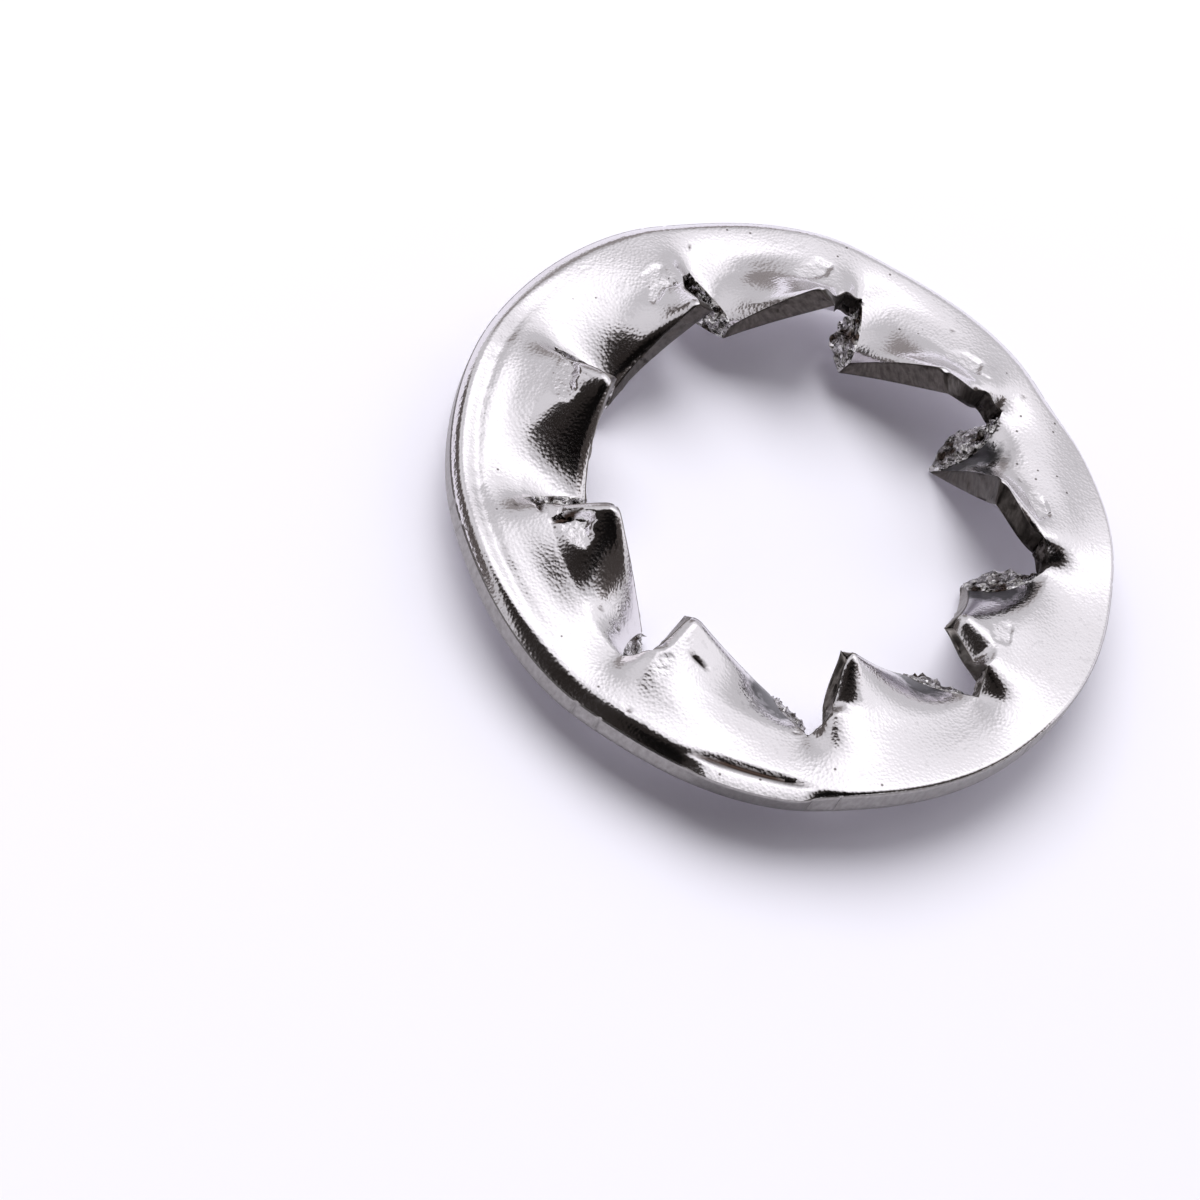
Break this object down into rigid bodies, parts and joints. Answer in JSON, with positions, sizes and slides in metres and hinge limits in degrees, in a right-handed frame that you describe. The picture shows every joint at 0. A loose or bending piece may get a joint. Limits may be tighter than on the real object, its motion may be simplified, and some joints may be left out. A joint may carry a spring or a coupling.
{
  "type": "toothed lock washer",
  "caption": "Sheet-steel ring with twisted inward teeth, which bite into a screw head or nut and the part below to stop it working loose.",
  "frame": {"origin": "on the bore's axis, at the middle of the sheet's thickness", "axes": "+Z along the bore's axis, towards the die-rolled upper face; +X through the middle of one tooth"},
  "size_m": [0.018, 0.018, 0.0036],
  "materials": {
    "washer": "bright nickel plating over hardened spring steel, with dark sheared and torn edges"
  },
  "bodies": {
    "root": {"washer": "washer"}
  },
  "joints": []
}
